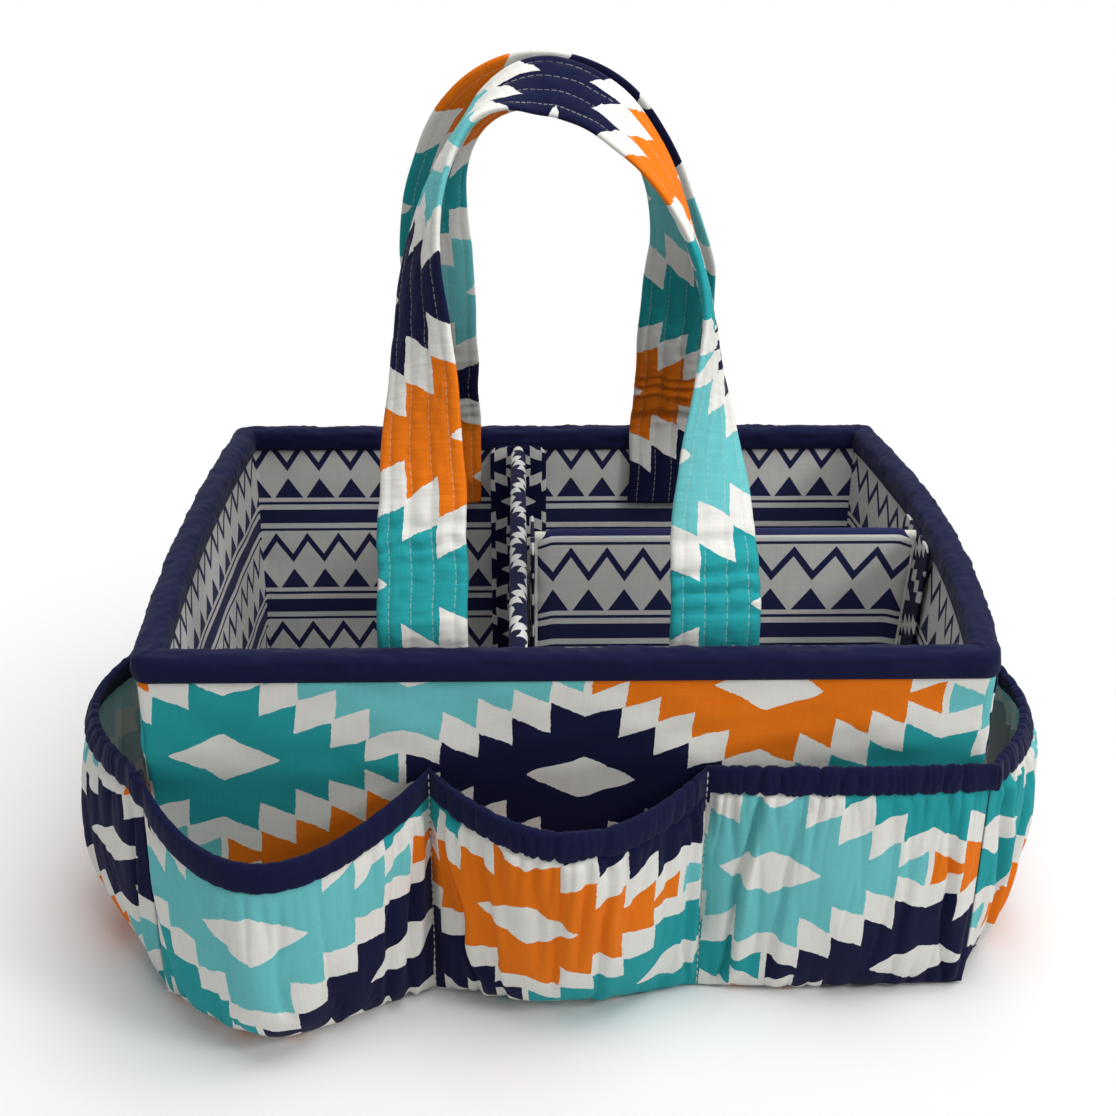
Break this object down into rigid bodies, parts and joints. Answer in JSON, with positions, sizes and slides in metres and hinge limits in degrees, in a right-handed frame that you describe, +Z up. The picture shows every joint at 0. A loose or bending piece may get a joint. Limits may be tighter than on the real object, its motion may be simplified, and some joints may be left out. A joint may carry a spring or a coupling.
{
  "type": "diaper caddy",
  "caption": "Padded open cloth box with gathered elastic pockets all round, strap handles that lean together, bound rim and lift-out hook-and-loop dividers.",
  "frame": {"origin": "middle of the underside of the base cover, on the floor", "axes": "+X to the right seen from the front, -Y to the front, +Z up"},
  "size_m": [0.4334, 0.3443, 0.3738],
  "materials": {
    "printed_cotton": "woven cotton, turquoise, orange, navy and off-white print",
    "lining_cotton": "woven cotton, navy and white stripes",
    "navy_tape": "bias-cut cotton tape",
    "foam": "soft sew-in foam and batting",
    "board": "plain stiffener sheet",
    "elastic": "braided elastic",
    "hook_and_loop": "white hook-and-loop tape"
  },
  "bodies": {
    "caddy": {"back_handle_left_end": "printed_cotton", "back_handle_right_end": "printed_cotton", "back_loop_strip": "hook_and_loop", "back_pocket_binding": "navy_tape", "back_pocket_elastic": "elastic", "back_pocket_left": "printed_cotton", "back_pocket_middle": "printed_cotton", "back_pocket_right": "printed_cotton", "back_wall_cover": "printed_cotton", "back_wall_foam": "foam", "back_wall_lining": "lining_cotton", "base_board": "board", "base_cover": "printed_cotton", "base_lining": "lining_cotton", "front_handle_left_end": "printed_cotton", "front_handle_right_end": "printed_cotton", "front_loop_strip": "hook_and_loop", "front_pocket_binding": "navy_tape", "front_pocket_elastic": "elastic", "front_pocket_left": "printed_cotton", "front_pocket_middle": "printed_cotton", "front_pocket_right": "printed_cotton", "front_wall_cover": "printed_cotton", "front_wall_foam": "foam", "front_wall_lining": "lining_cotton", "left_pocket_binding": "navy_tape", "left_pocket_elastic": "elastic", "left_pocket_front": "printed_cotton", "left_pocket_rear": "printed_cotton", "left_wall_cover": "printed_cotton", "left_wall_foam": "foam", "left_wall_lining": "lining_cotton", "right_loop_strip": "hook_and_loop", "right_pocket_binding": "navy_tape", "right_pocket_elastic": "elastic", "right_pocket_front": "printed_cotton", "right_pocket_rear": "printed_cotton", "right_wall_cover": "printed_cotton", "right_wall_foam": "foam", "right_wall_lining": "lining_cotton", "rim_binding": "navy_tape"},
    "front_handle": {"front_handle_batting": "foam", "front_handle_cover": "printed_cotton"},
    "back_handle": {"back_handle_batting": "foam", "back_handle_cover": "printed_cotton"},
    "cross_divider": {"cross_divider_core": "foam", "cross_divider_cover": "lining_cotton", "cross_divider_front_tab": "hook_and_loop", "cross_divider_loop_strip": "hook_and_loop", "cross_divider_rear_tab": "hook_and_loop"},
    "long_divider": {"long_divider_core": "foam", "long_divider_cover": "lining_cotton", "long_divider_left_tab": "hook_and_loop", "long_divider_right_tab": "hook_and_loop"}
  },
  "joints": [
    {"name": "front_handle_swing", "type": "hinge", "parent": "caddy", "child": "front_handle", "pos_m": [0, -0.1194, 0.168], "axis": [1, 0, 0], "range_deg": [0, 130]},
    {"name": "back_handle_swing", "type": "hinge", "parent": "caddy", "child": "back_handle", "pos_m": [0, 0.1194, 0.168], "axis": [-1, 0, 0], "range_deg": [0, 130]},
    {"name": "cross_divider_lift", "type": "slide", "parent": "caddy", "child": "cross_divider", "axis": [0, 0, 1], "range_m": [0, 0.165]},
    {"name": "long_divider_lift", "type": "slide", "parent": "caddy", "child": "long_divider", "axis": [0, 0, 1], "range_m": [0, 0.165]}
  ]
}
